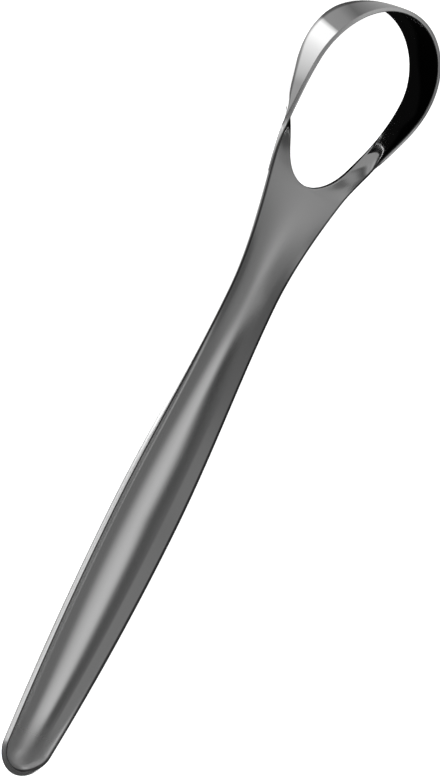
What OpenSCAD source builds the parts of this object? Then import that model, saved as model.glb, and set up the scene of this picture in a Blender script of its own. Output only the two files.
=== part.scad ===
// Tongue scraper pressed from stainless sheet. It lies on its back: +X points from the butt to the
// loop, the open side of the handle and the raised rim of the loop face +Z, and Y = 0 is the plane
// of symmetry. The origin is half-way along, in the plane that the tool lies on. Every outline is
// that of the finished edge; the sheet's middle surface lies half a thickness inside it. Places
// along the length are worked out from the butt, and moved to the origin when a point is placed.

/* [Overall] */
// Length from the butt to the tip of the loop
overall_length = 153; // [140:1:165]
// Height of the loop's front rim over the plane that the tool lies on, at the tip
loop_height = 9; // [7.5:0.1:10]
// Thickness of the sheet in the handle
sheet = 1; // [0.8:0.05:1.2]
// Thickness of the sheet where it is drawn out into the loop
band = 0.8; // [0.6:0.05:1]

/* [Handle] */
// Width of the handle where it is widest
handle_width = 15.8; // [13:0.2:17]
// Distance of the widest place from the butt
handle_widest_at = 51; // [46:1:58]
// Width that the taper reaches at the butt, before its corners are rounded
butt_width = 10.2; // [8.2:0.2:11]
// Length of the rounded end at the butt
butt_round = 5.2; // [4:0.2:8]
// Height of the handle's wall, outside, from the butt to the widest place
handle_depth = 3; // [2.3:0.1:3.4]
// Rise of the handle's back over the plane that the tool lies on, at the middle of its arch
arch_rise = 0.8; // [0.3:0.05:1.2]
// Distance of the arch's highest place from the butt
arch_at = 64; // [55:1:75]

/* [Neck and fork] */
// Width of the neck where it is narrowest
neck_width = 12; // [10:0.2:13]
// Distance of the narrowest place from the loop's tip
neck_from_tip = 58; // [52:0.5:64]
// Height of the sheet's curve at the neck, outside
neck_depth = 1.8; // [1.6:0.1:2.2]
// Height of the sheet's curve at the crotch of the fork, outside
fork_depth = 1; // [0.95:0.05:1.6]
// Rise of the neck's back over the plane that the tool lies on
neck_rise = 1.45; // [0.6:0.05:1.8]
// Distance of the lowest place of the neck's rims from the loop's tip
neck_low_from_tip = 36.5; // [34:0.5:42]
// Width over the two arms where they part
fork_width = 21.8; // [19:0.2:23]
// Distance of that place from the loop's tip
fork_from_tip = 31; // [29:0.5:33]

/* [Loop] */
// Width of the loop over its front rim
loop_width = 28.6; // [26:0.2:31]
// Length of the loop's round end, from its widest place to its tip
loop_round = 15; // [13:0.2:17]
// Height of the front rim at the loop's widest place
loop_side_height = 7.8; // [6:0.1:8.4]
// Length of the opening, from the crotch of the fork to the loop's tip
opening_length = 34.2; // [31:0.2:36]
// Width of the opening at its widest
opening_width = 25.7; // [23:0.1:26.8]
// Length of the opening's round end
opening_round = 12.2; // [11:0.2:14]
// Roundness of the crotch: 2 is an ellipse, less is more pointed
crotch_roundness = 1.6; // [1.3:0.05:2]
// Distance from the loop's tip of the arms' shoulder, where the sheet begins to stand up
shoulder_from_tip = 29; // [27:0.5:30]
// How far the shoulder reaches into the opening, past the opening's even outline
shoulder_in = 0.9; // [0:0.1:1.5]
// How far the shoulder swells the outline
shoulder_out = 0.2; // [0:0.05:0.6]
// How far the shoulder holds up the sheet's inner edge
shoulder_up = 0.45; // [0:0.05:0.8]
// Height of the sheet's inner edge over the plane where the arms stand up, at the sheet's middle
arm_low = 1.8; // [1.2:0.1:2.2]
// Distance of that place from the loop's tip
arm_low_from_tip = 23; // [21:0.5:26]
// How far the band's middle bulges outwards between its two rims
band_bulge = 0.25; // [0:0.05:0.5]

/* [Hidden] */

// The front rim leans out past the back rim at the tip by this much
rim_overhang = 0.3;
// Places along the length: neck, fork, the loop's widest place and the two ends of the opening
neck_at = overall_length - neck_from_tip;
neck_low_at = overall_length - neck_low_from_tip;
fork_at = overall_length - fork_from_tip;
shoulder_at = overall_length - shoulder_from_tip;
arm_low_at = overall_length - arm_low_from_tip;
loop_widest_at = overall_length - loop_round;
opening_end = overall_length - (loop_width - opening_width) / 2 - rim_overhang;
crotch_at = opening_end - opening_length;
// Shape of a sheared and tumbled edge: 2 is a half round, more is squarer
edge_squareness = 3;
// Slope of the arms' outline where they part, as width over length
fork_slope = 0.285;
// Half the length of the arms' shoulder
shoulder_run = 7;
// Slope of the front rim in the side view, at the loop's widest place
rim_slope = 0.13;
// Depth to which the loop's back rim is ground flat, so that the tool lies still
ground = 0.08;

// How far a sheared edge is rounded over
edge_round = 0.3;
// Width of the turned-up lip along the handle's rim, on the sheet's middle surface
lip_width = 0.9;
// Share of the trough's depth that the lip makes, and the rest is the hollow of its floor
lip_share = 0.66;
// Share of the lip that is left at the neck, where the section becomes an even curve
neck_lip_share = 0.7;
// How far the crotch reaches past the places of the rims that face it
fork_lead = 1;
crotch_station = crotch_at - fork_lead;
// How late the loop's back rim sinks to the plane: 1 is an even S-curve, more is later
edge_lag = 1.38;
// How far round the opening's lower half the handle ends and the loop begins
split_turn = 54;
// Share of the arm along which the trough's curve gives way to the straight section of the band
stand_share = 0.8;

// Steps: round the butt, along the handle, along an arm, round the loop, across the sheet, on a rim
butt_steps = 10;
handle_steps = 30;
arm_steps = 24;
loop_steps = 24;
lip_steps = 4;
across = 11;
edge_steps = 4;

quarter = 90;
half_turn = 180;

function mix(a, b, t) = a + (b - a) * t;
function smooth(t) = t <= 0 ? 0 : t >= 1 ? 1 : t * t * (3 - 2 * t);
function unit(v) = v / norm(v);

// A smooth curve from height a to height b over length run, with the slopes sa and sb at its ends
function swept(t, a, b, run, sa, sb) =
    mix(a, b, smooth(t))
    + run * (sa * t * (1 - t) * (1 - t) - sb * t * t * (1 - t));

// Half the width of the outline at distance x from the butt
function taper(x) =
    handle_width / 2
    - (handle_width - butt_width) / 2 * pow((handle_widest_at - x) / handle_widest_at, 2);
function rounded_end(x) = x >= butt_round ? 1 : sqrt(1 - pow(1 - x / butt_round, 2));
function outline(x) =
    x < handle_widest_at ? taper(x) * rounded_end(x)
    : x < neck_at ? swept((x - handle_widest_at) / (neck_at - handle_widest_at),
        handle_width / 2, neck_width / 2, neck_at - handle_widest_at, 0, 0)
    : x < fork_at ? swept((x - neck_at) / (fork_at - neck_at),
        neck_width / 2, fork_width / 2, fork_at - neck_at, 0, fork_slope)
    : swept((x - fork_at) / (loop_widest_at - fork_at),
        fork_width / 2, loop_width / 2, loop_widest_at - fork_at, fork_slope, 0);

// The arms' shoulder: how much of it there is at distance x from the butt
function shoulder(x) = smooth(1 - abs(x - shoulder_at) / shoulder_run);

// Height of the rim's top at distance x from the butt
arch_rim = arch_rise + handle_depth;
neck_rim = neck_rise + neck_depth;
function rim_top(x) =
    x < arch_at ? arch_rim - arch_rise * pow((arch_at - x) / arch_at, 2)
    : x < neck_low_at ? swept((x - arch_at) / (neck_low_at - arch_at),
        arch_rim, neck_rim, neck_low_at - arch_at, 0, 0)
    : x < loop_widest_at ? swept((x - neck_low_at) / (loop_widest_at - neck_low_at),
        neck_rim, loop_side_height, loop_widest_at - neck_low_at, 0, rim_slope)
    : swept((x - loop_widest_at) / loop_round,
        loop_side_height, loop_height, loop_round, rim_slope, 0);

// Height of the sheet's section at distance x from the butt, outside
function depth(x) =
    x < neck_at
    ? mix(handle_depth, neck_depth, smooth((x - handle_widest_at) / (neck_at - handle_widest_at)))
    : mix(neck_depth, fork_depth, smooth((x - neck_at) / (crotch_at - neck_at)));

// Height of the sheet's middle surface on the centre line, and at the opening's edge
function floor_mid(x) = rim_top(x) - depth(x) + sheet / 2;
function edge_mid(x) =
    shoulder_up * shoulder(x) + (x < arm_low_at
    ? mix(floor_mid(crotch_at), arm_low, smooth((x - crotch_at) / (arm_low_at - crotch_at)))
    : mix(arm_low, edge_round - ground,
        smooth(pow((x - arm_low_at) / (opening_end - arm_low_at), edge_lag))));

// Stations: each has the outline's point, its inward direction, the inner point, its direction,
// the thickness there, and how far the section has turned from trough (0) to upright band (1)
function inward(a, b) = unit([b[1] - a[1], a[0] - b[0]]);
tiny_share = 0.001;
half_bit = 0.25;

function butt_rim(turn) =
    let (x = butt_round * (1 - cos(turn))) [x, taper(x) * sin(turn)];
centre_share = 0.9;
function centre(x) =
    let (ahead = butt_round * centre_share, reach = 2 * ahead + butt_round / 2)
    x + (x < reach ? ahead * pow(1 - x / reach, 2) : 0)
    + fork_lead * smooth((x - neck_at) / (crotch_station - neck_at));

function opening_low(turn) =
    let (x = crotch_at + (opening_length - opening_round)
        * (1 - pow(max(cos(turn), 0), 2 / crotch_roundness)))
    [x, (opening_width / 2 - shoulder_in * shoulder(x)) * sin(turn)];
function opening_high(turn) =
    [opening_end - opening_round * (1 - sin(turn)), opening_width / 2 * cos(turn)];
function arm_rim(turn) =
    let (x = mix(crotch_station, loop_widest_at, turn / quarter))
    [x, outline(x) + shoulder_out * shoulder(x)];
function loop_rim(turn) =
    [loop_widest_at + loop_round * sin(turn), loop_width / 2 * cos(turn)];

bit = quarter * tiny_share;
function station(r0, r1, e0, e1, e, r, turned) =
    let (hr = inward(r0, r1), he = inward(e0, e1), t = mix(sheet, band, smooth(turned)))
    [r + hr * t / 2, hr, e - he * mix(edge_round, t / 2, smooth(turned)), he, t, turned, r[0], e[0]];

butt_stations = [for (i = [0 : butt_steps - 1])
    let (a = quarter * i / butt_steps, r = butt_rim(a),
        h = inward(butt_rim(a - bit), butt_rim(a + bit)))
    [r + h * sheet / 2, h, [centre(r[0]), 0], h, sheet, 0, r[0], centre(r[0])]];
handle_stations = [for (i = [0 : handle_steps - 1])
    let (x = mix(butt_round, crotch_station, i / handle_steps), d = overall_length * tiny_share,
        h = inward([x - d, outline(x - d)], [x + d, outline(x + d)]))
    [[x, outline(x)] + h * sheet / 2, h, [centre(x), 0], h, sheet, 0, x, centre(x)]];
arm_stations = [for (i = [0 : arm_steps - 1])
    let (a = quarter * i / arm_steps)
    station(arm_rim(a - bit), arm_rim(a + bit), opening_low(a - bit), opening_low(a + bit),
        opening_low(a), arm_rim(a), a / quarter)];
loop_stations = [for (i = [0 : loop_steps])
    let (a = quarter * i / loop_steps)
    station(loop_rim(a - bit), loop_rim(a + bit), opening_high(a - bit), opening_high(a + bit),
        opening_high(a), loop_rim(a), 1)];

handle_split = butt_steps + handle_steps;
split = handle_split + round(arm_steps * split_turn / quarter);
all_stations = concat(butt_stations, handle_stations, arm_stations, loop_stations);

// The sheet's middle surface across one station, from rim to inner edge, as points [q, z]: q runs
// inwards and z up. In the handle a lip turns down from the rim into a hollow floor. In the arms the
// section straightens and turns until it stands on edge, and round the loop it is a band that
// bulges a little outwards.
function trough(v, reach, drop, lipped) =
    let (
        lip = drop * lip_share,
        turn = quarter * min(v * across / lip_steps, 1),
        along = max(v * across - lip_steps, 0) / (across - lip_steps),
        q = mix(lip_width * (1 - cos(turn)), reach, along),
        down = lip * sin(turn) + (drop - lip) * (1 - pow(1 - q / reach, 2)))
    mix([reach * v, drop * (1 - pow(1 - v, 2))], [q, down], lipped);
function straight(v, reach, drop, turned) =
    [reach * v - 4 * band_bulge * smooth(turned) * v * (1 - v), drop * v];
function profile(v, reach, drop, turned, lipped) =
    mix(trough(v, reach, drop, lipped), straight(v, reach, drop, turned),
        smooth(turned / stand_share));

// One section of the sheet: the front face from rim to inner edge, the inner edge, the back face
// and the rim, as points on the side of the plane of symmetry that side gives
function section(s, side) =
    let (
        reach = norm(s[2] - s[0]),
        top = rim_top(s[6]) - edge_round,
        low = s[5] > 0 ? edge_mid(s[7]) : floor_mid(s[7]),
        softened = smooth((s[6] - handle_widest_at) / (neck_at - handle_widest_at)),
        lipped = mix(1, neck_lip_share, softened)
            * (1 - smooth((s[6] - neck_at) / (crotch_station - neck_at))),
        at = function (v) profile(v, reach, top - low, s[5], s[5] > 0 ? 0 : lipped),
        bit = half_bit / across,
        mid = [for (j = [0 : across])
            let (
                v = j / across,
                m = at(v),
                way = at(v + bit) - at(v - bit))
            [s[0] + (s[2] - s[0]) * m[0] / reach, top - m[1], atan2(way[1], way[0]),
                unit(mix(s[1], s[3], v * v))]],
        put = function (m, out, face) let (
                c = cos(m[2]),
                d = sin(m[2]),
                p = m[0] + m[3] * (out * c + face * d))
            [p[0] - overall_length / 2, side * p[1], max(m[1] + face * c - out * d, 0)],
        edge = function (m, a) put(m,
            edge_round * sign(sin(a)) * pow(abs(sin(a)), 2 / edge_squareness),
            s[4] / 2 * sign(cos(a)) * pow(abs(cos(a)), 2 / edge_squareness))
    )
    concat(
        [for (m = mid) edge(m, 0)],
        [for (k = [1 : edge_steps - 1]) edge(mid[across], half_turn * k / edge_steps)],
        [for (j = [across : -1 : 0]) edge(mid[j], half_turn)],
        [for (k = [1 : edge_steps - 1]) edge(mid[0], half_turn * (1 + k / edge_steps))]
    );

// A length of the sheet between two stations, as one closed shell of both halves. Along the centre
// line, and where a station lies on it, the two halves share their points.
back_inner = across + edge_steps;
back_outer = back_inner + across;
ring = back_outer + edge_steps;
module sheet_between(from, to) {
    count = to - from + 1;
    first_closed = from == 0;
    last_closed = to == len(all_stations) - 1;
    crotch = handle_split - from;
    points = [for (side = [1, -1]) for (i = [from : to]) each section(all_stations[i], side)];
    function at(side, i, k) =
        let (shared = (first_closed && i == 0) || (last_closed && i == count - 1)
            || (i <= crotch && k >= across && k <= back_inner))
        (shared ? 0 : side * count * ring) + i * ring + k % ring;
    function facing(side, f) = side == 0 ? f : [f[2], f[1], f[0]];
    walls = [for (side = [0, 1]) for (i = [0 : count - 2]) for (k = [0 : ring - 1])
        if (i >= crotch || k < across || k >= back_inner)
            let (
                near = [at(side, i, k), at(side, i, k + 1)],
                far = [at(side, i + 1, k), at(side, i + 1, k + 1)])
            each k < across
            ? [facing(side, [near[0], far[0], near[1]]), facing(side, [far[0], far[1], near[1]])]
            : [facing(side, [near[0], far[0], far[1]]), facing(side, [near[0], far[1], near[1]])]];
    function end_face(side, i, out) = [
        for (j = [0 : across - 1])
            each [facing(out, [at(side, i, j), at(side, i, j + 1), at(side, i, back_outer - j)]),
                facing(out, [at(side, i, j + 1), at(side, i, back_outer - j - 1),
                    at(side, i, back_outer - j)])],
        for (k = [across : back_inner - 2])
            facing(out, [at(side, i, k), at(side, i, k + 1), at(side, i, back_inner)]),
        for (k = [back_outer : ring - 2])
            facing(out, [at(side, i, k), at(side, i, k + 1), at(side, i, ring)])];
    ends = [for (side = [0, 1]) each concat(
        first_closed ? [] : end_face(side, 0, side),
        last_closed ? [] : end_face(side, count - 1, 1 - side))];
    polyhedron(points = points, faces = concat(walls, ends));
}

module handle() {
    color([0.62, 0.62, 0.62]) sheet_between(0, split);
}

module scraping_loop() {
    color([0.8, 0.8, 0.8]) sheet_between(split, len(all_stations) - 1);
}

handle();
scraping_loop();
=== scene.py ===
import math

import bpy
from mathutils import Matrix, Vector


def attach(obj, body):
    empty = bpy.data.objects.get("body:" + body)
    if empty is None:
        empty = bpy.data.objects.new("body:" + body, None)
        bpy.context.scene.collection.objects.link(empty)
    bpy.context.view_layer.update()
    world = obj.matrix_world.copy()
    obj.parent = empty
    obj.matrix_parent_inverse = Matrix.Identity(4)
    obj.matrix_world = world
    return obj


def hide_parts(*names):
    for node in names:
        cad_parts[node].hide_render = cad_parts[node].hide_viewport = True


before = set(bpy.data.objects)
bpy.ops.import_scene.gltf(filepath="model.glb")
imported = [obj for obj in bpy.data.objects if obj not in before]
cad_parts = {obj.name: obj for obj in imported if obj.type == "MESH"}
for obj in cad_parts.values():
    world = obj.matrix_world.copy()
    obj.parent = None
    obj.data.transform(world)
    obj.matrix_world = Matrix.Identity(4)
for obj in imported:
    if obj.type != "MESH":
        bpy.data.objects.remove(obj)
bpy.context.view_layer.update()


# ---- The handle -------------------------------------------------------------------------------
# One blank of stainless sheet, pressed into a long shallow dish. It narrows to a neck and forks
# into two arms, which go on without a seam as the loop. The open side is left satin from the
# brushing wheel, and the sheared edges are tumbled bright. Their lighter colour is partly a
# painted highlight, and painted shade darkens the rim's corners and the butt.

mm = 0.001
overall_length = 153 * mm
sheet = 1 * mm
band = 0.8 * mm
handle_width = 15.8 * mm
handle_widest_at = 51 * mm
butt_width = 10.2 * mm
butt_round = 5.2 * mm
handle_depth = 3 * mm
arch_rise = 0.8 * mm
arch_at = 64 * mm
neck_width = 12 * mm
neck_at = overall_length - 58 * mm
neck_low_at = overall_length - 36.5 * mm
neck_depth = 1.8 * mm
neck_rise = 1.45 * mm
fork_width = 21.8 * mm
fork_depth = 1 * mm
fork_at = overall_length - 31 * mm
fork_slope = 0.285
loop_width = 28.6 * mm
loop_round = 15 * mm
loop_height = 9 * mm
loop_side_height = 7.8 * mm
rim_slope = 0.13
rim_overhang = 0.3 * mm
opening_length = 34.2 * mm
opening_width = 25.7 * mm
opening_round = 12.2 * mm
crotch_roundness = 1.6
loop_widest_at = overall_length - loop_round
opening_end = overall_length - (loop_width - opening_width) / 2 - rim_overhang
crotch_at = opening_end - opening_length
fork_lead = 1 * mm
crotch_station = crotch_at - fork_lead
arm_low = 1.8 * mm
arm_low_at = overall_length - 23 * mm
shoulder_at = overall_length - 29 * mm
shoulder_run = 7 * mm
shoulder_in = 0.9 * mm
shoulder_out = 0.2 * mm
shoulder_up = 0.45 * mm
belly = 0.8 * mm
belly_at = overall_length - 26.4 * mm
belly_run_down = 7.5 * mm
belly_run_up = 6.3 * mm
edge_lag = 1.38
edge_round = 0.3 * mm
edge_squareness = 3
edge_shear = 0.5
ground = 0.08 * mm
lip_width = 0.9 * mm
lip_share = 0.66
neck_lip_share = 0.7
lip_steps_share = 4 / 11
dish_lip = 0.25
butt_lip = 0.7
butt_lip_run = 4.5 * mm
butt_lead_share = 0.9
end_flare = -0.06 * mm
side_flare = 0.22 * mm
stand_share = 0.8
band_bulge = 0.25 * mm
quarter = math.pi / 2

# Sections along the sheet, and the share of the arms at which the loop takes over
butt_steps, handle_steps, loop_steps = 44, 170, 96
handle_arm_steps, loop_arm_steps = 54, 46
steps_across, steps_on_edge = 44, 10
finish_split = 0.6
bit_of_turn = quarter / 1000
bit_of_length = 0.1 * mm
in_plane = 0.001 * mm
weld_distance = 0.0005 * mm
sharp_angle = math.radians(55)

# Painted shade: dark lines at the sheared rim's corners and round the butt, in the steel's colour
shade_width = 0.13 * mm
corner_soft_share = 0.14
arm_corner_share = 0.35
rim_corner_share = 0.62
outer_line_share = 0.42
outer_line_fades_at = 50 * mm
outer_line_fades_over = 25 * mm
butt_shade = 0.5
butt_shade_at = 3 * mm
butt_shade_over = 3 * mm


def mix(a, b, t):
    return a + (b - a) * t


def smooth(t):
    t = min(max(t, 0), 1)
    return t * t * (3 - 2 * t)


def swept(t, a, b, run, slope_a, slope_b):
    """A smooth curve from height a to height b over length run, with a slope at each end."""
    return mix(a, b, smooth(t)) + run * t * (1 - t) * (slope_a * (1 - t) - slope_b * t)


def taper(x):
    narrowing = (handle_width - butt_width) / 2
    return handle_width / 2 - narrowing * ((handle_widest_at - x) / handle_widest_at) ** 2


def outline(x):
    """Half the width of the blank at distance x from the butt."""
    if x < butt_round:
        return taper(x) * math.sqrt(1 - (1 - x / butt_round) ** 2)
    if x < handle_widest_at:
        return taper(x)
    if x < neck_at:
        run = neck_at - handle_widest_at
        return swept((x - handle_widest_at) / run, handle_width / 2, neck_width / 2, run, 0, 0)
    if x < fork_at:
        run = fork_at - neck_at
        return swept((x - neck_at) / run, neck_width / 2, fork_width / 2, run, 0, fork_slope)
    run = loop_widest_at - fork_at
    return swept((x - fork_at) / run, fork_width / 2, loop_width / 2, run, fork_slope, 0)


def shoulder(x):
    """How much of the arms' shoulder there is at distance x from the butt."""
    return smooth(1 - abs(x - shoulder_at) / shoulder_run)


def rim_top(x):
    """Height of the rim in the side view."""
    arch_rim = arch_rise + handle_depth
    neck_rim = neck_rise + neck_depth
    if x < arch_at:
        return arch_rim - arch_rise * ((arch_at - x) / arch_at) ** 2
    if x < neck_low_at:
        return swept((x - arch_at) / (neck_low_at - arch_at), arch_rim, neck_rim, 0, 0, 0)
    if x < loop_widest_at:
        run = loop_widest_at - neck_low_at
        return swept((x - neck_low_at) / run, neck_rim, loop_side_height, run, 0, rim_slope)
    return swept((x - loop_widest_at) / loop_round, loop_side_height, loop_height, loop_round,
                 rim_slope, 0)


def depth(x):
    if x < neck_at:
        run = neck_at - handle_widest_at
        return mix(handle_depth, neck_depth, smooth((x - handle_widest_at) / run))
    return mix(neck_depth, fork_depth, smooth((x - neck_at) / (crotch_at - neck_at)))


def floor_middle(x):
    return rim_top(x) - depth(x) + sheet / 2


def edge_middle(x):
    held = shoulder_up * shoulder(x)
    if x < arm_low_at:
        part = (x - crotch_at) / (arm_low_at - crotch_at)
        return held + mix(floor_middle(crotch_at), arm_low, smooth(part))
    part = (x - arm_low_at) / (opening_end - arm_low_at)
    return held + mix(arm_low, edge_round - ground, smooth(part ** edge_lag))


def lip_left(x):
    """How much of the lip at the rim there is at distance x from the butt."""
    softened = smooth((x - handle_widest_at) / (neck_at - handle_widest_at))
    fading = smooth((x - neck_at) / (crotch_station - neck_at))
    return mix(1, neck_lip_share, softened) * (1 - fading)


def centre(x):
    """The place on the centre line that faces the rim at x."""
    ahead = butt_round * butt_lead_share
    reach = 2 * ahead + butt_round / 2
    bend = ahead * (1 - x / reach) ** 2 if x < reach else 0
    return x + bend + fork_lead * smooth((x - neck_at) / (crotch_station - neck_at))


def butt_rim(turn):
    x = butt_round * (1 - math.cos(turn))
    return Vector((x, taper(x) * math.sin(turn)))


def long_rim(x):
    return Vector((x, outline(x)))


def arm_rim(turn):
    x = mix(crotch_station, loop_widest_at, turn / quarter)
    return Vector((x, outline(x) + shoulder_out * shoulder(x)))


def opening_low(turn):
    drawn = 1 - max(math.cos(turn), 0) ** (2 / crotch_roundness)
    x = crotch_at + (opening_length - opening_round) * drawn
    return Vector((x, (opening_width / 2 - shoulder_in * shoulder(x)) * math.sin(turn)))


def opening_high(turn):
    x = opening_end - opening_round * (1 - math.sin(turn))
    return Vector((x, opening_width / 2 * math.cos(turn)))


def loop_rim(turn):
    x = loop_widest_at + loop_round * math.sin(turn)
    return Vector((x, loop_width / 2 * math.cos(turn)))


def inward(curve, at, bit):
    way = curve(at + bit) - curve(at - bit)
    return Vector((way.y, -way.x)).normalized()


def plain_station(curve, at, bit):
    """Dish: from the rim's middle to the centre line."""
    rim = curve(at)
    side = inward(curve, at, bit)
    flared = lip_left(rim.x) * mix(end_flare, side_flare, side.y ** 2)
    lip = mix(dish_lip, butt_lip, smooth(1 - rim.x / butt_lip_run))
    return {
        "rim": rim + side * (sheet / 2 - flared), "rim_in": side,
        "top": rim_top(rim.x) - edge_round, "inner": Vector((centre(rim.x), 0)),
        "edge_in": side, "low": floor_middle(centre(rim.x)), "gauge": sheet, "turned": 0,
        "parted": 0, "belly": 0, "lipped": lip * lip_left(rim.x)}


def belly_of(x):
    """How far the arms' wall swells outwards at distance x from the butt, where they twist."""
    run = belly_run_down if x < belly_at else belly_run_up
    return belly * smooth(1 - abs(x - belly_at) / run)


def open_station(rim_curve, edge_curve, turn, turned):
    """Arm or loop: from the rim's middle to the middle of the opening's edge."""
    rim, edge = rim_curve(turn), edge_curve(turn)
    rim_in = inward(rim_curve, turn, bit_of_turn)
    edge_in = inward(edge_curve, turn, bit_of_turn)
    gauge = mix(sheet, band, smooth(turned))
    low = edge_middle(edge.x) if turned > 0 else floor_middle(edge.x)
    return {
        "rim": rim + rim_in * gauge / 2, "rim_in": rim_in, "top": rim_top(rim.x) - edge_round,
        "inner": edge - edge_in * mix(edge_round, gauge / 2, smooth(turned)), "edge_in": edge_in,
        "low": low, "gauge": gauge, "turned": turned, "parted": 1, "lipped": 0,
        "belly": belly_of(rim.x)}


def arm_stations(start, end, count):
    return [open_station(arm_rim, opening_low, quarter * mix(start, end, i / count),
                         mix(start, end, i / count)) for i in range(count)]


handle_stations = (
    [plain_station(butt_rim, quarter * i / butt_steps, bit_of_turn) for i in range(butt_steps)]
    + [plain_station(long_rim, mix(butt_round, crotch_station, i / handle_steps), bit_of_length)
       for i in range(handle_steps)]
    + arm_stations(0, finish_split, handle_arm_steps)
    + [open_station(arm_rim, opening_low, quarter * finish_split, finish_split)])


def guide_rails(name, stations, closed_start, closed_end):
    """A rail of points along the rim. Each point carries the section's other end and its turns.

    An end that is not on the centre line gets one more point, where the section closes on its own
    middle, so that the sheet ends in a flat face.
    """
    rows = [dict(s, open=1) for s in stations]
    if not closed_start:
        rows.insert(0, dict(stations[0], open=0))
    if not closed_end:
        rows.append(dict(stations[-1], open=0))
    mesh = bpy.data.meshes.new(name)
    mesh.from_pydata([(s["rim"].x - overall_length / 2, s["rim"].y, s["top"]) for s in rows],
                     [(i, i + 1) for i in range(len(rows) - 1)], [])
    vectors = {
        "inner": [(s["inner"].x - overall_length / 2, s["inner"].y, s["low"]) for s in rows],
        "rim_in": [(s["rim_in"].x, s["rim_in"].y, 0) for s in rows],
        "edge_in": [(s["edge_in"].x, s["edge_in"].y, 0) for s in rows]}
    for key, values in vectors.items():
        layer = mesh.attributes.new(key, "FLOAT_VECTOR", "POINT")
        layer.data.foreach_set("vector", [c for v in values for c in v])
    for key in ("gauge", "turned", "open", "parted", "lipped", "belly"):
        layer = mesh.attributes.new(key, "FLOAT", "POINT")
        layer.data.foreach_set("value", [float(s[key]) for s in rows])
    rails = bpy.data.objects.new(name, mesh)
    bpy.context.collection.objects.link(rails)
    return rails


class Amount:
    """A number or vector that nodes work out, so that their rules read as plain sums."""

    def __init__(self, tree, socket):
        self.tree, self.socket = tree, socket

    def node(self, kind, operation, values, output=0):
        node = self.tree.nodes.new(kind)
        if operation:
            node.operation = operation
        for socket, value in zip(node.inputs, values):
            if isinstance(value, Amount):
                self.tree.links.new(value.socket, socket)
            else:
                socket.default_value = value
        return Amount(self.tree, node.outputs[output])

    def math(self, operation, *values):
        return self.node("ShaderNodeMath", operation, (self, *values))

    def vector(self, operation, *values):
        return self.node("ShaderNodeVectorMath", operation, (self, *values))

    def scaled(self, factor):
        node = self.tree.nodes.new("ShaderNodeVectorMath")
        node.operation = "SCALE"
        self.tree.links.new(self.socket, node.inputs[0])
        if isinstance(factor, Amount):
            self.tree.links.new(factor.socket, node.inputs["Scale"])
        else:
            node.inputs["Scale"].default_value = factor
        return Amount(self.tree, node.outputs[0])

    def part(self, index):
        return self.node("ShaderNodeSeparateXYZ", None, (self,), index)

    def __add__(self, other):
        return self.math("ADD", other)

    def __radd__(self, other):
        return self.math("ADD", other)

    def __sub__(self, other):
        return self.math("SUBTRACT", other)

    def __rsub__(self, other):
        return (self * -1) + other

    def __mul__(self, other):
        return self.math("MULTIPLY", other)

    def __rmul__(self, other):
        return self.math("MULTIPLY", other)

    def __truediv__(self, other):
        return self.math("DIVIDE", other)

    def held(self, low, high):
        return self.math("MAXIMUM", low).math("MINIMUM", high)

    def eased(self):
        t = self.held(0, 1)
        return t * t * (3 - t * 2)


def blend(a, b, t):
    return a + (b - a) * t


def new_tree(name, inputs, outputs):
    tree = bpy.data.node_groups.new(name, "GeometryNodeTree")
    for label, kind in inputs:
        tree.interface.new_socket(name=label, in_out="INPUT", socket_type="NodeSocket" + kind)
    for label, kind in outputs:
        tree.interface.new_socket(name=label, in_out="OUTPUT", socket_type="NodeSocket" + kind)
    return tree, tree.nodes.new("NodeGroupInput"), tree.nodes.new("NodeGroupOutput")


form_inputs = [("Lip width", "Float"), ("Lip share", "Float"), ("Stand share", "Float"),
               ("Bulge", "Float")]


def section_rule():
    """Where the middle of the sheet lies, as distance inward and down from the rim.

    The dish is a hollow floor with a share of a lip that turns down from the rim. In the arms
    the section straightens and turns until it stands upright as the band. Its wall swells
    outwards: most where the arms twist, and a little in the band.
    """
    tree, given, result = new_tree(
        "Sheet section",
        [("Across", "Float"), ("Reach", "Float"), ("Drop", "Float"), ("Turned", "Float"),
         ("Lipped", "Float"), ("Belly", "Float")] + form_inputs,
        [("In", "Float"), ("Down", "Float")])
    get = {s.name: Amount(tree, s) for s in given.outputs if s.name}
    v, reach, drop, turned = (get[n] for n in ("Across", "Reach", "Drop", "Turned"))

    turn = (v / lip_steps_share).math("MINIMUM", 1) * quarter
    along = (v - lip_steps_share).math("MAXIMUM", 0) / (1 - lip_steps_share)
    lipped_in = blend(get["Lip width"] * (1 - turn.math("COSINE")), reach, along)
    lip = drop * get["Lip share"]
    from_middle = 1 - lipped_in / reach
    lipped_down = lip * turn.math("SINE") + (drop - lip) * (1 - from_middle * from_middle)
    dish_in = blend(reach * v, lipped_in, get["Lipped"])
    dish_down = blend(drop * (1 - (1 - v) * (1 - v)), lipped_down, get["Lipped"])

    standing = (turned / get["Stand share"]).eased()
    straight_in = reach * v - get["Bulge"] * turned.eased() * 4 * v * (1 - v)
    bellied = blend(dish_in, straight_in, standing) - get["Belly"] * 4 * v * (1 - v)
    tree.links.new(bellied.socket, result.inputs["In"])
    tree.links.new(blend(dish_down, drop * v, standing).socket, result.inputs["Down"])
    return tree


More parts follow.
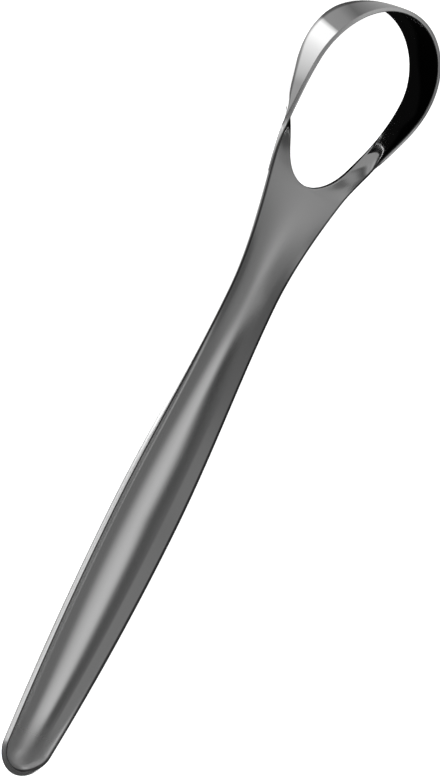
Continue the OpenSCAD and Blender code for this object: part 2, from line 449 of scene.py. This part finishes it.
def pressed_sheet_tree():
    """Lofts the sheet along its rails: front face, inner edge, back face and rim, both halves."""
    tree, given, result = new_tree(
        "Pressed sheet",
        [("Rails", "Geometry"), ("Stations", "Int"), ("Steps across", "Int"),
         ("Steps on an edge", "Int"), ("Edge round", "Float"), ("Edge squareness", "Float")]
        + form_inputs + [("Material", "Material")],
        [("Geometry", "Geometry")])
    get = {s.name: Amount(tree, s) for s in given.outputs if s.name}
    across, steps = get["Steps across"], get["Steps on an edge"]
    ring = across * 2 + steps * 2 + 1
    rounding_slack, just_before = 0.0001, -0.01

    grid = tree.nodes.new("GeometryNodeMeshGrid")
    tree.links.new(get["Stations"].socket, grid.inputs["Vertices X"])
    tree.links.new(ring.socket, grid.inputs["Vertices Y"])
    index = Amount(tree, tree.nodes.new("GeometryNodeInputIndex").outputs[0])
    station = (index / ring + rounding_slack).math("FLOOR")
    k = index - station * ring

    def sampled(name, kind):
        read = tree.nodes.new("GeometryNodeInputNamedAttribute")
        read.data_type = kind
        read.inputs["Name"].default_value = name
        pick = tree.nodes.new("GeometryNodeSampleIndex")
        pick.data_type = kind
        tree.links.new(get["Rails"].socket, pick.inputs["Geometry"])
        tree.links.new(read.outputs["Attribute"], pick.inputs["Value"])
        tree.links.new(station.socket, pick.inputs["Index"])
        return Amount(tree, pick.outputs["Value"])

    rim = sampled("position", "FLOAT_VECTOR")
    inner = sampled("inner", "FLOAT_VECTOR")
    rim_in, edge_in = sampled("rim_in", "FLOAT_VECTOR"), sampled("edge_in", "FLOAT_VECTOR")
    gauge, turned, opened, parted, lipped, bellied = (
        sampled(n, "FLOAT") for n in ("gauge", "turned", "open", "parted", "lipped", "belly"))

    on_face = k.math("MINIMUM", across) - (k - across - steps).held(0, across)
    turns = (((k - across) / steps).held(0, 1) + ((k - across * 2 - steps) / steps).held(0, 1))
    angle = turns * math.pi
    sine, cosine = angle.math("SINE"), angle.math("COSINE")
    power = get["Edge squareness"].math("POWER", -1) * 2
    out = sine.math("SIGN") * sine.math("ABSOLUTE").math("POWER", power)
    face = cosine.math("SIGN") * cosine.math("ABSOLUTE").math("POWER", power)
    along_rim = (k - across * 2 - steps) / steps
    on_rim = along_rim.math("GREATER_THAN", just_before)
    on_edge = out.math("ABSOLUTE") * on_rim.math("MAXIMUM", 1 - turned * 2)
    sheared = blend(1, 1 - edge_shear + face * edge_shear, out.math("LESS_THAN", 0))
    out = blend(out.math("MINIMUM", 0), out, parted) * sheared * get["Edge round"] * opened
    face = face * gauge * 0.5 * opened

    flat = Amount(tree, tree.nodes.new("ShaderNodeCombineXYZ").outputs[0])
    flat.socket.node.inputs[0].default_value = 1
    flat.socket.node.inputs[1].default_value = 1
    span = inner.vector("SUBTRACT", rim)
    level = span.vector("MULTIPLY", flat)
    reach = Amount(tree, level.vector("LENGTH").socket.node.outputs["Value"])
    drop = span.part(2) * -1
    v = on_face / across

    def section(at):
        group = tree.nodes.new("GeometryNodeGroup")
        group.node_tree = rule
        values = {"Across": at, "Reach": reach, "Drop": drop, "Turned": turned,
                  "Lipped": lipped, "Belly": bellied}
        values.update({label: get[label] for label, _ in form_inputs})
        for label, value in values.items():
            tree.links.new(value.socket, group.inputs[label])
        return Amount(tree, group.outputs["In"]), Amount(tree, group.outputs["Down"])

    here, down = section(v)
    half_step = across.math("POWER", -1) * 0.25
    in_after, down_after = section(v + half_step)
    in_before, down_before = section(v - half_step)
    run, fall = in_after - in_before, down_after - down_before
    length = (run * run + fall * fall).math("SQRT")
    c, s = run / length, fall / length
    lean = rim_in.scaled(1 - v * v).vector("ADD", edge_in.scaled(v * v)).vector("NORMALIZE")
    place = rim.vector("ADD", level.scaled(here / reach)).vector(
        "ADD", lean.scaled(out * c + face * s))
    height = (rim.part(2) - down + face * c - out * s).math("MAXIMUM", 0)
    point = place.node("ShaderNodeCombineXYZ", None, (place.part(0), place.part(1), height))

    moved = tree.nodes.new("GeometryNodeSetPosition")
    tree.links.new(grid.outputs["Mesh"], moved.inputs["Geometry"])
    tree.links.new(point.socket, moved.inputs["Position"])

    def stored(geometry, name, value):
        node = tree.nodes.new("GeometryNodeStoreNamedAttribute")
        node.data_type = "FLOAT"
        node.domain = "POINT"
        node.inputs["Name"].default_value = name
        tree.links.new(geometry, node.inputs["Geometry"])
        tree.links.new(value.socket, node.inputs["Value"])
        return node.outputs["Geometry"]

    # Painted shade, stored for the steel's colour to darken: dark lines at the rim's inner corner
    # and beside it, at its outer corner, round the butt
    is_front = (turns * (-2 * steps_on_edge) + 1).held(0, 1)
    plain_rim = (lipped / dish_lip).math("MAXIMUM", turned * 2).math("MINIMUM", 1)
    corner_at = blend(arm_corner_share, rim_corner_share, plain_rim)
    corner = ((along_rim - corner_at) / corner_soft_share).eased()
    beside_rim = (1 - (here - shade_width) / shade_width).held(0, 1) * is_front
    from_butt = rim.part(0) + overall_length / 2
    outer_left = 1 - ((from_butt - outer_line_fades_at) / outer_line_fades_over).eased()
    outer = (1 - along_rim / outer_line_share).eased() * on_rim * outer_left
    at_butt = 1 - ((from_butt - butt_shade_at) / butt_shade_over).eased()
    round_butt = at_butt * on_rim * butt_shade
    shade = corner.math("MAXIMUM", beside_rim).math("MAXIMUM", outer).math("MAXIMUM", round_butt)
    front = (face / gauge * 2).held(0, 1) * is_front
    shaped = stored(moved.outputs["Geometry"], "front", front)
    shaped = stored(shaped, "on_edge", on_edge)
    shaped = stored(shaped, "shade", shade)
    shaped = stored(shaped, "turned", turned)

    # Faces that lie in the plane of symmetry are where the two halves grow together
    where = Amount(tree, tree.nodes.new("GeometryNodeInputPosition").outputs[0])
    middle = where.part(1).math("ABSOLUTE").math("LESS_THAN", in_plane)
    parting = tree.nodes.new("GeometryNodeDeleteGeometry")
    parting.domain = "FACE"
    tree.links.new(shaped, parting.inputs["Geometry"])
    tree.links.new(middle.socket, parting.inputs["Selection"])
    half = parting.outputs["Geometry"]

    mirrored = tree.nodes.new("GeometryNodeTransform")
    mirrored.inputs["Scale"].default_value = (1, -1, 1)
    tree.links.new(half, mirrored.inputs["Geometry"])
    turned_out = tree.nodes.new("GeometryNodeFlipFaces")
    tree.links.new(half, turned_out.inputs["Mesh"])
    both = tree.nodes.new("GeometryNodeJoinGeometry")
    tree.links.new(turned_out.outputs["Mesh"], both.inputs["Geometry"])
    tree.links.new(mirrored.outputs["Geometry"], both.inputs["Geometry"])
    merged = tree.nodes.new("GeometryNodeMergeByDistance")
    merged.inputs["Distance"].default_value = weld_distance
    tree.links.new(both.outputs["Geometry"], merged.inputs["Geometry"])
    shaded = tree.nodes.new("GeometryNodeSetShadeSmooth")
    tree.links.new(merged.outputs["Geometry"], shaded.inputs["Geometry"])
    solid = tree.nodes.new("GeometryNodeRealizeInstances")
    tree.links.new(shaded.outputs["Geometry"], solid.inputs["Geometry"])
    painted = tree.nodes.new("GeometryNodeSetMaterial")
    tree.links.new(solid.outputs["Geometry"], painted.inputs["Geometry"])
    tree.links.new(get["Material"].socket, painted.inputs["Material"])
    tree.links.new(painted.outputs["Geometry"], result.inputs["Geometry"])
    return tree


rule = section_rule()
press = pressed_sheet_tree()


def pressed(name, stations, closed_start, closed_end, material):
    """Presses the sheet along the stations and leaves it as a plain mesh."""
    rails = guide_rails(name + "_rails", stations, closed_start, closed_end)
    modifier = rails.modifiers.new("Pressed sheet", "NODES")
    modifier.node_group = press
    values = {
        "Stations": len(rails.data.vertices), "Steps across": steps_across,
        "Steps on an edge": steps_on_edge, "Edge round": edge_round,
        "Edge squareness": float(edge_squareness), "Lip width": lip_width,
        "Lip share": lip_share, "Stand share": stand_share, "Bulge": band_bulge,
        "Material": material}
    for item in press.interface.items_tree:
        if item.in_out == "INPUT" and item.name in values:
            modifier[item.identifier] = values[item.name]
    graph = bpy.context.evaluated_depsgraph_get()
    mesh = bpy.data.meshes.new_from_object(rails.evaluated_get(graph), depsgraph=graph)
    mesh.name = name
    bpy.data.objects.remove(rails)
    mesh.set_sharp_from_angle(angle=sharp_angle)
    piece = bpy.data.objects.new(name, mesh)
    bpy.context.collection.objects.link(piece)
    return piece


def steel(name, satin):
    """Stainless steel: bright where it was tumbled, satin where the brushing wheel ran.

    Its colour is partly painted light: a painted highlight in the edges' lighter colour, on top of
    their tumbled finish, and painted shade along the rim's corners and round the butt.
    """
    # Colours: clean steel, edges (tumbled finish with a painted highlight), painted shade
    clean, frosted_and_highlit, painted_shade_tone = 0.62, 0.85, 0.1
    bright, edge_roughness, cloudiness, edge_dulling = 0.07, 0.2, 0.05, 0.06
    fork_from, fork_over, fork_extra = 19 * mm, 9 * mm, 0.04
    butt_from, butt_over, butt_extra = -73 * mm, 10 * mm, 0.22
    satin_until, satin_fades_over = 0.3, 0.3
    grain_size, cloud_size = (60, 5200, 5200), 90
    grain_depth, grain_strength, least_strength = 0.02 * mm, 0.12, 0.01

    material = bpy.data.materials.new(name)
    material.use_nodes = True
    tree = material.node_tree
    nodes, links = tree.nodes, tree.links
    shader = nodes["Principled BSDF"]
    shader.inputs["Base Color"].default_value = (clean, clean, clean, 1)
    shader.inputs["Metallic"].default_value = 1
    place = nodes.new("ShaderNodeTexCoord")
    along = Amount(tree, place.outputs["Object"]).part(0)

    def mapped(attribute):
        node = nodes.new("ShaderNodeAttribute")
        node.attribute_name = attribute
        return Amount(tree, node.outputs["Fac"]).held(0, 1)

    def noise(vector, scale, detail):
        node = nodes.new("ShaderNodeTexNoise")
        node.inputs["Scale"].default_value = scale
        node.inputs["Detail"].default_value = detail
        links.new(vector, node.inputs["Vector"])
        return Amount(tree, node.outputs["Fac"])

    grain_way = nodes.new("ShaderNodeMapping")
    grain_way.inputs["Scale"].default_value = grain_size
    links.new(place.outputs["Object"], grain_way.inputs["Vector"])
    grain = noise(grain_way.outputs["Vector"], 1, 4)
    cloud = noise(place.outputs["Object"], cloud_size, 3)

    brushed = mapped("front") * (
        1 - ((mapped("turned") - satin_until) / satin_fades_over).held(0, 1))
    on_edge = mapped("on_edge")
    at_fork = ((along - fork_from) / fork_over).eased()
    at_butt = 1 - ((along - butt_from) / butt_over).eased()
    satin_here = satin + at_fork * fork_extra + at_butt * butt_extra
    rough = blend(bright, satin_here, brushed) + on_edge * edge_roughness + cloud * cloudiness
    # Lighter on the edges, partly as a painted highlight, and darkened by painted shade at the
    # rim's corners and round the butt
    colour = blend(blend(clean, frosted_and_highlit, on_edge), painted_shade_tone, mapped("shade"))
    links.new(colour.socket, shader.inputs["Base Color"])
    links.new((1 - on_edge * edge_dulling).socket, shader.inputs["Metallic"])
    links.new(rough.socket, shader.inputs["Roughness"])

    bump = nodes.new("ShaderNodeBump")
    bump.inputs["Distance"].default_value = grain_depth
    links.new(grain.socket, bump.inputs["Height"])
    links.new((brushed * grain_strength + least_strength).socket, bump.inputs["Strength"])
    links.new(bump.outputs["Normal"], shader.inputs["Normal"])
    return material


handle = pressed("handle_sheet", handle_stations, True, False, steel("satin_steel", satin=0.12))
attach(handle, "root")
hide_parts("handle")


# ---- The scraping loop ------------------------------------------------------------------------
# The two arms stand up on edge, drawn a little thinner, and close into a teardrop band. Its front
# rim is the scraping edge. It is mirror-polished, and lies on its back rim, which is ground flat.

loop_stations = (
    arm_stations(finish_split, 1, loop_arm_steps)
    + [open_station(loop_rim, opening_high, quarter * i / loop_steps, 1)
       for i in range(loop_steps + 1)])
loop = pressed("scraping_loop_band", loop_stations, False, True, steel("mirror_steel", satin=0.2))
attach(loop, "root")
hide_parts("scraping_loop")


# ---- The studio -------------------------------------------------------------------------------
# A pale floor, a camera at the photograph's angle, soft light from above and dark and light cards
# for the steel to mirror. The cards are seen only in reflections. The dark card under the handle
# and the dark foot of the card beside the arm are painted shadow.

picture = (440, 777)
pixels_per_mm = 5.6
toward_loop = math.radians(2)
off_front = math.radians(40)
camera_distance = 1.2
sensor = 24
across_picture = Vector((0, -math.cos(off_front), math.sin(off_front)))
along_picture = Vector((math.cos(toward_loop), 0, -math.sin(toward_loop) * math.cos(off_front)))
lean = math.radians(25.97)
right = across_picture * math.cos(lean) + along_picture * math.sin(lean)
up = along_picture * math.cos(lean) - across_picture * math.sin(lean)
back = right.cross(up).normalized()
up = back.cross(right).normalized()
right.normalize()
butt_in_picture = Vector((6.39, 770.01))
shift_right = (picture[0] / 2 - butt_in_picture.x) / pixels_per_mm * mm
shift_up = (butt_in_picture.y - picture[1] / 2) / pixels_per_mm * mm
aim = Vector((-overall_length / 2, 0, 0)) + right * shift_right + up * shift_up
camera_data = bpy.data.cameras.new("camera")
camera_data.sensor_fit = "VERTICAL"
camera_data.sensor_height = sensor
camera_data.lens = sensor * camera_distance / (picture[1] / pixels_per_mm * mm)
camera_data.clip_start = 0.01
camera = bpy.data.objects.new("camera", camera_data)
camera.matrix_world = Matrix.Translation(aim + back * camera_distance) @ Matrix(
    (right, up, back)).transposed().to_4x4()
bpy.context.collection.objects.link(camera)
bpy.context.scene.camera = camera


def reflected(name, points, faces):
    """A thing of the studio that only reflections see."""
    mesh = bpy.data.meshes.new(name)
    mesh.from_pydata(points, [], faces)
    thing = bpy.data.objects.new(name, mesh)
    bpy.context.collection.objects.link(thing)
    paint = bpy.data.materials.new(name)
    paint.use_nodes = True
    shader = paint.node_tree.nodes["Principled BSDF"]
    shader.inputs["Base Color"].default_value = (0, 0, 0, 1)
    shader.inputs["Specular IOR Level"].default_value = 0
    shader.inputs["Roughness"].default_value = 1
    shader.inputs["Emission Color"].default_value = (1, 1, 1, 1)
    mesh.materials.append(paint)
    thing.visible_camera = False
    thing.visible_diffuse = False
    thing.visible_shadow = False
    return mesh, shader


def card(name, corners, strength, height=0):
    """A flat card, with its corners and height in millimetres."""
    points = [(x * mm, y * mm, height * mm) for x, y in corners]
    _, shader = reflected(name, points, [list(range(len(points)))])
    shader.inputs["Emission Strength"].default_value = strength


def card_in_outline(name, curve, strength, height):
    """A card that fills an outline. The curve gives the half on the +Y side, from the butt."""
    half = [((p.x - overall_length / 2) / mm, p.y / mm) for p in curve]
    card(name, half + [(x, -y) for x, y in reversed(half)], strength, height)


def lit_surface(name, points, lights, count):
    """A surface over rows of count points, where each point has its own brightness."""
    faces = [(i * count + j, i * count + j + 1, (i + 1) * count + j + 1, (i + 1) * count + j)
             for i in range(len(points) // count - 1) for j in range(count - 1)]
    mesh, shader = reflected(name, points, faces)
    light = mesh.attributes.new("light", "FLOAT", "POINT")
    light.data.foreach_set("value", lights)
    tree = mesh.materials[0].node_tree
    read = tree.nodes.new("ShaderNodeAttribute")
    read.attribute_name = "light"
    tree.links.new(read.outputs["Fac"], shader.inputs["Emission Strength"])


def between(x, table):
    """The value at x in a table of pairs, in straight lines between them."""
    if x <= table[0][0]:
        return table[0][1]
    for (a, low), (b, high) in zip(table, table[1:]):
        if x <= b:
            return mix(low, high, (x - a) / (b - a))
    return table[-1][1]


def rising(value, start, over):
    """From 0 to 1, while the value passes from start through the width over."""
    return smooth((value - start) / over)


# Brightness of the tent at elevations in degrees, over the neck and over the fork
over_neck = [(0, 0.1), (25, 0.12), (36, 0.24), (44, 0.24), (48, 0.32), (50.5, 0.48), (54, 0.43),
             (60, 0.38)]
over_fork = [(0, 0.08), (25, 0.1), (36, 0.24), (44, 0.24), (48, 0.3), (50.5, 0.44), (53, 0.4),
             (55.5, 0.33), (58, 0.12), (64, 0.12), (70, 0.36), (78, 0.34), (88, 0.17),
             (96, 0.11), (104, 0.2), (116, 0.45), (128, 0.38), (140, 0.5), (154, 0.6),
             (162, 0.1), (180, 0.05)]


def tent_light(elevation, x):
    """How bright the tent is at an elevation, from the horizon on the -Y side over to the +Y side.

    A bright band stands half-way up. It ends softly toward the horizon and sharply above, and
    it climbs toward the handle's butt. High on the +Y side the tent is bright again, for the
    edges. Over the neck and the fork it follows the tables.
    """
    brightest, under_band, near_horizon, past_butt = 0.76, 0.19, 0.35, 0.06
    past_tip, as_at_butt = 90 * mm, -110 * mm

    # The band, drawn out wider over the butt, with its soft and its sharp border
    along = as_at_butt if x > past_tip else x
    from_butt = rising(along, -50 * mm, 30 * mm)
    spread = mix(2.3, 1.4, rising(along, -50 * mm, 50 * mm))
    level = 50 + (elevation - 50) / spread
    climb = 7 * (1 - rising(along, -100 * mm, 50 * mm)) / spread
    rise_at = 40 + climb + 2.5 * rising(along, -20 * mm, 30 * mm)
    fall_at = 55 + climb - 3.6 * from_butt
    rise = 0.75 * rising(level, rise_at, 8) + 0.25 * rising(level, rise_at + 6, 7)
    fall = 1 - rising(level, fall_at, 4)

    # What lies beside it: dark right above the band, a little lighter farther up
    darkest, upper = mix(0.1, 0.03, from_butt), mix(0.26, 0.16, from_butt)
    above = mix(darkest, upper, rising(level, fall_at + 6, 8))
    edge = under_band if level < fall_at else above
    side = edge + (brightest - edge) * min(rise, 1) * fall
    side += near_horizon * (1 - rising(elevation, 6, 8))
    side = mix(past_butt, side, rising(along, -130 * mm, 20 * mm))

    # High on the +Y side
    high_up = rising(elevation, 134, 10) * rising(along, -170 * mm, 20 * mm)
    side = mix(side, mix(1, 0.25, rising(elevation, 168, 8)), high_up)

    # Over the neck, where the table ends higher the nearer it comes to the fork
    neck_table_end = 58 + 550 * (x - 10 * mm)
    neck = mix(between(elevation, over_neck), 0.12, rising(elevation, neck_table_end, 4))
    side = mix(side, neck, rising(x, -2 * mm, 12 * mm))

    # Over the fork and, from half-way up, on beyond the tip
    lasting = rising(elevation, 66, 8) * (1 - rising(x, 170 * mm, 40 * mm))
    beyond_tip = rising(x, 90 * mm, 30 * mm) * (1 - lasting)
    fork = rising(x, 36 * mm, 12 * mm) * (1 - beyond_tip)
    return mix(side, between(elevation, over_fork), fork)


def tent():
    """A half-round tent over the tool, along it, that shines more or less with its elevation."""
    radius = 0.3
    elevations = range(181)
    lengths = [-1.2, -0.3] + [-0.18 + 0.005 * i for i in range(80)] + [0.3, 1.2]
    points = [(x, -radius * math.cos(math.radians(e)), radius * math.sin(math.radians(e)))
              for e in elevations for x in lengths]
    lit_surface("tent", points, [tent_light(e, x) for e in elevations for x in lengths],
                len(lengths))


tent()


def card_beside():
    """A card on the floor along the outside of one arm and round the tip, dark at its foot with a
    painted shadow.
    """
    # Brightness at millimetres from the butt, and its share at millimetres out from the rim
    at_arm = [(115, 0.5), (129, 0.48), (132, 0.5), (134, 0.75), (137, 1.02), (140, 1.3),
              (142, 1.6), (145, 1.6), (145.8, 0.42), (148.5, 0.38), (150.5, 0.2), (152, 0.3),
              (153, 0.4)]
    past_tip = 0.4
    # The low shares next to the rim are the painted shadow at the arm's foot
    out_from_rim = [(-0.5, 0.3), (0.1, 0.4), (0.5, 1), (14, 1)]
    steps, just_below = 80, -0.01 * mm

    along_arm = [(arm_rim, quarter * i / steps) for i in range(steps)]
    round_tip = [(loop_rim, 2 * quarter * i / steps) for i in range(steps + 1)]
    points, lights = [], []
    for rim, turn in along_arm + round_tip:
        at, way = rim(turn), -inward(rim, turn, bit_of_turn)
        other_side = rim is loop_rim and turn >= quarter
        strength = past_tip if other_side else between(at.x / mm, at_arm)
        for out, share in out_from_rim:
            spot = at + way * (out * mm)
            points.append((spot.x - overall_length / 2, spot.y, just_below))
            lights.append(strength * share)
    lit_surface("card_beside", points, lights, len(out_from_rim))


card_beside()

inside = ([opening_low(quarter * i / 24) for i in range(1, 24)]
          + [opening_high(quarter * i / 24) for i in range(24)])
card_in_outline("card_in_loop", inside, 0.004, -0.008)

# Painted shadow: a dark card on the floor under the handle, seen only in reflections, for the
# shade beneath it
under_ends_at, wider_by, wider_over, ahead_of_butt = 80 * mm, 0.13, 30 * mm, 1 * mm
under = ([butt_rim(quarter * i / 24) for i in range(25)]
         + [long_rim(mix(butt_round, under_ends_at, i / 24)) for i in range(1, 25)])
for point in under:
    point.y *= 1 + wider_by * smooth((under_ends_at - point.x) / wider_over)
    point.x -= ahead_of_butt if point.x < butt_round else 0
card_in_outline("painted_shadow_under_handle", under, 0.12, -0.006)

card("card_aside", [(-500, 30), (500, 30), (500, 800), (-500, 800)], 0.35)
card("card_before", [(-700, -300), (700, -300), (700, -11.5), (-700, -11.5)], 0.02)


def seen(tree):
    """1 for what the camera sees, directly or in a reflection, and 0 for light that spreads."""
    rays = tree.nodes.new("ShaderNodeLightPath")
    camera_ray, glossy, passing = (
        Amount(tree, rays.outputs[name])
        for name in ("Is Camera Ray", "Is Glossy Ray", "Is Transmission Ray"))
    return camera_ray.math("MAXIMUM", glossy).math("MAXIMUM", passing)


floor_reach, floor_level = 4, -0.02 * mm
floor_mesh = bpy.data.meshes.new("floor")
floor_mesh.from_pydata([(x * floor_reach, y * floor_reach, floor_level)
                        for x, y in ((-1, -1), (1, -1), (1, 1), (-1, 1))], [], [(0, 1, 2, 3)])
floor = bpy.data.objects.new("floor", floor_mesh)
bpy.context.collection.objects.link(floor)
paper = bpy.data.materials.new("paper")
paper.use_nodes = True
shader = paper.node_tree.nodes["Principled BSDF"]
shader.inputs["Base Color"].default_value = (0.85, 0.85, 0.85, 1)
shader.inputs["Roughness"].default_value = 1
shader.inputs["Specular IOR Level"].default_value = 0
shader.inputs["Emission Color"].default_value = (1, 1, 1, 1)
glow = seen(paper.node_tree) * 0.7
paper.node_tree.links.new(glow.socket, shader.inputs["Emission Strength"])
floor_mesh.materials.append(paper)

world = bpy.data.worlds.new("studio")
bpy.context.scene.world = world
world.use_nodes = True
background = world.node_tree.nodes["Background"]
background.inputs["Color"].default_value = (1, 1, 1, 1)
level = blend(0.55, 1, seen(world.node_tree))
world.node_tree.links.new(level.socket, background.inputs["Strength"])

lamp_data = bpy.data.lights.new("softbox", "AREA")
lamp_data.shape = "RECTANGLE"
lamp_data.size = 1.2
lamp_data.size_y = 0.8
lamp_data.energy = 16
lamp = bpy.data.objects.new("softbox", lamp_data)
lamp.location = (-0.2, 0.95, 0.62)
lamp.rotation_euler = Vector(lamp.location).to_track_quat("Z", "Y").to_euler()
lamp.visible_glossy = False
bpy.context.collection.objects.link(lamp)

bpy.context.scene.view_settings.view_transform = "Standard"
